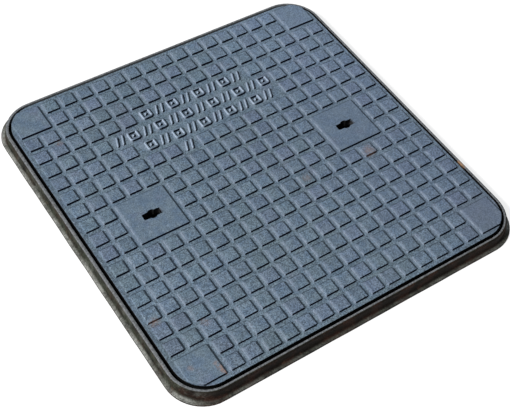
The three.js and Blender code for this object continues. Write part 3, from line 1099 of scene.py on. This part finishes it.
def frame_look():
    """The same casting, dark down its wall, dusty on its toe and weathered on its rim,
    with painted shade where the toe meets the wall and down in the gap.
    """
    look = Look("frame_iron")
    patch = look.noise(14, 5, 0.65, 12.0)
    sand = look.noise(2.6, 4, 0.7, 13.0)
    frame_metal(look, patch)
    dust_and_shade = toe_dust_and_shade(look, patch)
    # Dust on the toe, with painted shade in towards the wall.
    look.coat(dust_and_shade, rgb(0.165, 0.168, 0.155))
    rim = rim_share(look)
    patchy = look.spread(look.noise(6, 4, 0.7, 15.0), 0.3, 0.6, 0.65, 1.0)
    look.coat(look.product(rim, patchy), rgb(0.115, 0.122, 0.132))
    left_rim = look.product(rim, look.spread(look.x, -0.3, -0.322))
    look.shade(look.spread(left_rim, 0, 1, 1.0, 0.83))
    look.shade(look.spread(sand, 0.34, 0.66, 0.5, 1.5))
    rust = look.spread(look.noise(9, 3, 0.6, 16.0), 0.62, 0.7, 0, 0.3)
    look.coat(rust, rgb(0.08, 0.045, 0.03))
    # Painted shade, nearly black, on the wall's inner side down in the gap; paler on the side that
    # faces -Y.
    in_gap = look.product(
        look.spread(look.outward(), -0.1, -0.2),
        look.height(RIM_TOP, RIM_TOP - 0.6),
        look.height(RIM_TOP - 12.0, RIM_TOP - 8.0),
    )
    paler_gap_wall = look.spread(look.facing[1], -0.5, -0.9)
    gap_colour = look.blend(paler_gap_wall, PAINTED_GAP_SHADE, rgb(0.085, 0.095, 0.105))
    look.coat(in_gap, gap_colour)
    for y, reach, strength in ((-168, 6.0, 0.6), (-174, 6.0, 0.7), (-180, 5.0, 0.4)):
        spot = look.product(look.near(POCKET + 1.0, y, RIM_TOP, reach), strength)
        look.coat(spot, rgb(0.30, 0.17, 0.09))

    normal = look.bump(look.noise(6, 3, 0.6, 17.0), 0.5, 0.6)
    normal = look.bump(sand, 0.4, 0.8, normal)
    rough = look.spread(patch, 0.3, 0.7, 0.65, 0.85)
    shine = look.spread(look.calc("MAXIMUM", rim, dust_and_shade), 0, 1, 0.08, 0.45)
    return look.finish(rough, 0.0, normal, shine)


def rubber_look():
    look = Look("seal_rubber")
    bloom = look.noise(18, 4, 0.6, 21.0)
    look.mottle(bloom, 0.35, 0.7, grey(0.010), rgb(0.030, 0.030, 0.029))
    grain = look.noise(0.8, 3, 0.6, 22.0)
    return look.finish(0.78, 0.0, look.bump(grain, 0.08, 0.5), 0.3)


def cup_look():
    """Black stoved paint on pressed steel, chipped in places."""
    look = Look("cup_steel")
    cloud = look.noise(14, 4, 0.6, 31.0)
    look.mottle(cloud, 0.35, 0.7, rgb(0.008, 0.008, 0.009), rgb(0.024, 0.024, 0.025))
    chips = look.spread(look.noise(4, 3, 0.6, 32.0), 0.66, 0.7)
    look.coat(look.calc("MULTIPLY", chips, 0.6), rgb(0.12, 0.075, 0.05))
    peel = look.noise(1.6, 2, 0.5, 33.0)
    rough = look.spread(cloud, 0.3, 0.7, 0.28, 0.5)
    return look.finish(rough, 0.1, look.bump(peel, 0.05, 0.4))


def screw_look():
    """Zinc plating, dulled and spotted."""
    look = Look("screw_steel")
    cloud = look.noise(3, 4, 0.6, 41.0)
    look.mottle(cloud, 0.35, 0.7, rgb(0.42, 0.42, 0.41), rgb(0.60, 0.61, 0.62))
    spots = look.spread(look.noise(1.4, 3, 0.6, 42.0), 0.62, 0.7, 0, 0.7)
    look.coat(spots, rgb(0.24, 0.17, 0.11))
    rough = look.spread(cloud, 0.3, 0.7, 0.3, 0.5)
    return look.finish(rough, 0.9, look.bump(cloud, 0.03, 0.4))


# ---- Stage ----
def floor_look():
    """Pale and plain, and clear from below, so that the underside can be seen."""
    look = Look("floor_paper")
    mottle = look.noise(260, 3, 0.5, 51.0)
    look.mottle(mottle, 0.3, 0.7, grey(0.24), grey(0.26))
    look.finish(0.9, 0.0, None, 0.1)
    look.surface.inputs["Emission Color"].default_value = grey(1.0)
    look.surface.inputs["Emission Strength"].default_value = 0.77
    clear = look.node("ShaderNodeBsdfTransparent")
    from_below = look.node("ShaderNodeNewGeometry").outputs["Backfacing"]
    choose = look.node("ShaderNodeMixShader")
    look.links.new(from_below, choose.inputs[0])
    look.links.new(look.surface.outputs[0], choose.inputs[1])
    look.links.new(clear.outputs[0], choose.inputs[2])
    output = look.nodes["Material Output"]
    look.links.new(choose.outputs[0], output.inputs["Surface"])
    return look.material


def make_floor():
    reach = 6.0
    corners = [(-reach, -reach, 0), (reach, -reach, 0), (reach, reach, 0), (-reach, reach, 0)]
    mesh = bpy.data.meshes.new("floor")
    mesh.from_pydata(corners, [], [(0, 1, 2, 3)])
    floor = bpy.data.objects.new("floor", mesh)
    floor.location.z = -0.2 * MM  # just clear of the frame's foot
    bpy.context.scene.collection.objects.link(floor)
    floor.data.materials.append(floor_look())


def softbox(name, azimuth, elevation, distance, size, power, colour):
    """An area light that looks at the cover. Azimuth turns from +Y towards +X."""
    a, e = math.radians(azimuth), math.radians(elevation)
    away = Vector((math.sin(a) * math.cos(e), math.cos(a) * math.cos(e), math.sin(e)))
    light = bpy.data.lights.new(name, "AREA")
    light.shape = "DISK"
    light.size = size
    light.energy = power
    light.color = colour
    lamp = bpy.data.objects.new(name, light)
    lamp.location = away * distance
    lamp.rotation_mode = "QUATERNION"
    lamp.rotation_quaternion = (-away).to_track_quat("-Z", "Y")
    bpy.context.scene.collection.objects.link(lamp)


def make_light():
    world = bpy.data.worlds.new("studio")
    world.use_nodes = True
    sky = world.node_tree.nodes["Background"]
    sky.inputs["Color"].default_value = (0.86, 0.93, 1.0, 1.0)
    seen = world.node_tree.nodes.new("ShaderNodeLightPath").outputs["Is Camera Ray"]
    strength = world.node_tree.nodes.new("ShaderNodeMapRange")
    strength.inputs["To Min"].default_value = 0.3
    strength.inputs["To Max"].default_value = 0.85
    world.node_tree.links.new(seen, strength.inputs["Value"])
    world.node_tree.links.new(strength.outputs["Result"], sky.inputs["Strength"])
    bpy.context.scene.world = world
    # azimuth, elevation, distance, size, power, colour
    softbox("key", -94, 44, 7.0, 1.05, 750.0, (1.0, 0.985, 0.96))
    softbox("low_side", -90, 20, 4.0, 1.6, 20.0, (0.84, 0.92, 1.0))
    softbox("back_fill", 60, 14, 4.0, 2.4, 20.0, (0.9, 0.95, 1.0))


def make_camera():
    """The optical axis stands a little left of the picture's middle."""
    azimuth, elevation, roll = (math.radians(d) for d in (37.458, 51.975, 5.706))
    distance = 1758.5
    target = Vector((-75.9, -46.7, RIM_TOP))
    ahead = Vector((
        math.sin(azimuth) * math.cos(elevation),
        math.cos(azimuth) * math.cos(elevation),
        -math.sin(elevation),
    ))
    lens = bpy.data.cameras.new("camera")
    lens.sensor_width = 36.0
    lens.lens = 74.757
    lens.shift_x = 0.0487
    camera = bpy.data.objects.new("camera", lens)
    camera.rotation_mode = "QUATERNION"
    level = ahead.to_track_quat("-Z", "Y")
    camera.rotation_quaternion = level @ Quaternion((0, 0, 1), roll)
    camera.location = (target - ahead * distance) * MM
    bpy.context.scene.collection.objects.link(camera)
    bpy.context.scene.camera = camera


# ---- Assembly ----
def place(piece, body, material, slot, node):
    """Finish a piece: its material, the body it rides on and the node it stands for."""
    piece.data.materials.clear()
    piece.data.materials.append(material)
    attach(piece, body)
    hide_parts(node)


place(make_frame(), "frame_body", frame_look(), "frame_iron", "frame")
place(make_seal(), "frame_body", rubber_look(), "seal_rubber", "seating_seal")
place(make_cover(), "cover_body", cover_look(), "cover_iron", "cover")
cup_paint = cup_look()
zinc = screw_look()
screw_number = 0
for side, x in (("left", -KEY_X), ("right", KEY_X)):
    cup = make_cup(f"{side}_cup", x)
    place(cup, "cover_body", cup_paint, "cup_steel", f"keyway_cup_{side}")
    for y in (-SCREW_RING_R, SCREW_RING_R):
        screw_number += 1
        screw = make_screw(f"cup_screw_{screw_number}", x, y)
        place(screw, "cover_body", zinc, "screw_steel", f"keyway_cup_screw_{screw_number}")

make_floor()
make_light()
make_camera()
bpy.context.scene.view_settings.view_transform = "Standard"
